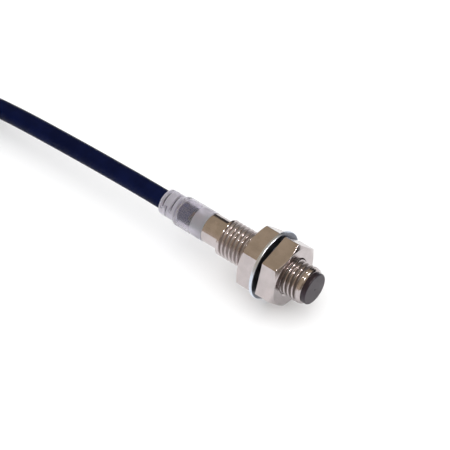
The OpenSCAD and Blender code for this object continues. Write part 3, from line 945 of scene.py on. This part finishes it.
class SENSOR_OT_insides(Operator):
    """Give the pieces inside the barrel and sleeve their finishes"""
    bl_idname = "sensor.insides"
    bl_label = "Inner pieces"

    def execute(self, context):
        finishes = {
            "ferrite_core": moulded_finish("ferrite", (0.045, 0.045, 0.05), 0.55, 7000, 0.02 * MM),
            "coil_bobbin": moulded_finish("bobbin_white", (0.8, 0.8, 0.74), 0.4),
            "coil_winding": winding_finish(),
            "coil_leads": bpy.data.materials["wound_copper"],
            "potting": moulded_finish("potting_resin", (0.03, 0.03, 0.034), 0.3, 3000, 0.01 * MM),
            "circuit_board": board_finish(),
            "control_chip": moulded_finish("chip_package", (0.025, 0.025, 0.027), 0.5),
            "chip_capacitors": moulded_finish("ceramic_chip", (0.42, 0.3, 0.19), 0.45),
            "indicator_lamp": moulded_finish("lamp_lens", (0.88, 0.91, 1.0), 0.25, specular_ior_level=0.6),
            "cable_end": moulded_finish("jacket_in_sleeve", (0.008, 0.012, 0.085), 0.6,
                                        specular_ior_level=0.1),
        }
        finishes["output_transistor"] = finishes["chip_resistors"] = finishes["control_chip"]
        for label in ("brown", "blue", "black"):
            finishes["core_" + label] = core_material(label)
        for node, finish in finishes.items():
            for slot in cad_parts[node].material_slots:
                slot.material = finish
        return {"FINISHED"}


def strip_light(name, direction, distance, width, height, watts, tint):
    """A strip light that looks at the middle of the sensor, runs along it and adds highlights only. width is
    its size across the sensor and height its size along it."""
    data = bpy.data.lights.new(name, "AREA")
    data.shape, data.size, data.size_y, data.energy, data.color = "RECTANGLE", width, height, watts, tint
    light = bpy.data.objects.new(name, data)
    target = Vector((-0.015, 0, 0))
    out = Vector(direction).normalized()
    light.location = target + out * distance
    across = (Vector((0, 1, 0)) - out * out.y).normalized()
    light.rotation_euler = Matrix((across, out.cross(across), out)).transposed().to_euler()
    light.visible_diffuse = False
    bpy.context.scene.collection.objects.link(light)


def studio_world():
    """Plain white surround for the light, which metal sees as warm grey with two low dark bands: one behind
    the sensor and one ahead of it."""
    world = bpy.data.worlds.new("studio")
    world.use_nodes = True
    board = Board(world.node_tree)
    back = world.node_tree.nodes["Background"]
    way = board.node("ShaderNodeTexCoord", output="Generated")
    split = board.node("ShaderNodeSeparateXYZ", {}, {0: way}, "X")
    x, y, z = board.outputs(split, "X", "Y", "Z")
    high = board.between(z, 0.0, 0.6)
    surround = board.blend(high, (0.54, 0.45, 0.35), (0.455, 0.375, 0.265))
    behind = board.between(y, 0.1, 0.3) * board.between(z, 0.52, 0.4)
    surround = board.cover(behind, surround, (0.035, 0.03, 0.03))
    ahead = board.between(x, 0.45, 0.8) * board.between(z, 0.5, 0.2)
    surround = board.cover(ahead * 0.65, surround, (0.06, 0.045, 0.035))
    glossy = board.node("ShaderNodeLightPath", output="Is Glossy Ray")
    seen = board.node("ShaderNodeMix", {"data_type": "RGBA"},
                      {0: glossy, 6: (1.35, 1.35, 1.35, 1), 7: surround}, 2)
    world.node_tree.links.new(seen.socket, back.inputs["Color"])
    bpy.context.scene.world = world


def paper(name, finish, front):
    """A flat sheet of studio paper under the sensor, which ends in front of it at a distance."""
    bm = bmesh.new()
    corners = ((-STUDIO_HALF, -STUDIO_HALF), (front, -STUDIO_HALF), (front, STUDIO_HALF),
               (-STUDIO_HALF, STUDIO_HALF))
    bm.faces.new([bm.verts.new((x, y, FLOOR_Z)) for x, y in corners])
    mesh = bpy.data.meshes.new(name)
    bm.to_mesh(mesh)
    bm.free()
    mesh.materials.append(finish)
    sheet = bpy.data.objects.new(name, mesh)
    bpy.context.scene.collection.objects.link(sheet)
    return sheet


class SENSOR_OT_stage(Operator):
    """Set the pale floor, the surround and the studio lights"""
    bl_idname = "sensor.stage"
    bl_label = "Stage"

    def execute(self, context):
        # floor_in_metal is a darker copy of the floor that only reflections see: painted shade, with a
        # painted shadow under the sensor's front end
        grey = shade(colours().floor, 0.86)
        sweep = paper("floor", paper_finish("studio_floor", colours().floor), STUDIO_HALF)
        mirrored = paper("floor_in_metal", paper_finish("studio_floor_in_metal", grey, 0.5), 0.05)
        sweep.visible_glossy = False
        mirrored.visible_camera = mirrored.visible_diffuse = mirrored.visible_transmission = False
        mirrored.visible_shadow = False
        studio_world()
        strip_light("front_lamp", (0.5, -0.15, 0.83), 0.6, 0.06, 0.22, 1.7, (1.0, 0.99, 0.98))
        strip_light("back_lamp", (0.5, 0.44, 0.74), 0.6, 0.06, 0.22, 1.6, (1.0, 0.99, 0.98))
        context.scene.view_settings.view_transform = "Standard"
        return {"FINISHED"}


# ------------------------------------------------------------ registration

STEPS = (SENSOR_OT_camera, SENSOR_OT_cable, SENSOR_OT_barrel, SENSOR_OT_cap, SENSOR_OT_nuts, SENSOR_OT_washer,
         SENSOR_OT_sleeve, SENSOR_OT_insides, SENSOR_OT_stage)


class SENSOR_PT_maker(Panel):
    """The sensor's sizes, colours and making steps"""
    bl_label = "Proximity Sensor"
    bl_idname = "SENSOR_PT_maker"
    bl_space_type = "VIEW_3D"
    bl_region_type = "UI"
    bl_category = "Sensor"

    def draw(self, context):
        layout = self.layout
        for group in (context.scene.sensor_sizes, context.scene.sensor_colours, context.scene.sensor_stage):
            box = layout.box()
            for key in group.__annotations__:
                box.prop(group, key)
        for step in STEPS:
            layout.operator(step.bl_idname)


GROUPS = {"sensor_sizes": SensorSizes, "sensor_colours": SensorColours, "sensor_stage": SensorStage}
CLASSES = (*GROUPS.values(), *STEPS, SENSOR_PT_maker)


def register():
    for cls in CLASSES:
        bpy.utils.register_class(cls)
    for name, group in GROUPS.items():
        setattr(bpy.types.Scene, name, PointerProperty(type=group))


def unregister():
    for name in GROUPS:
        delattr(bpy.types.Scene, name)
    for cls in reversed(CLASSES):
        bpy.utils.unregister_class(cls)


def main():
    register()
    for step in STEPS:
        family, label = step.bl_idname.split(".")
        getattr(getattr(bpy.ops, family), label)()
    bpy.context.view_layer.update()


if __name__ == "__main__":
    main()
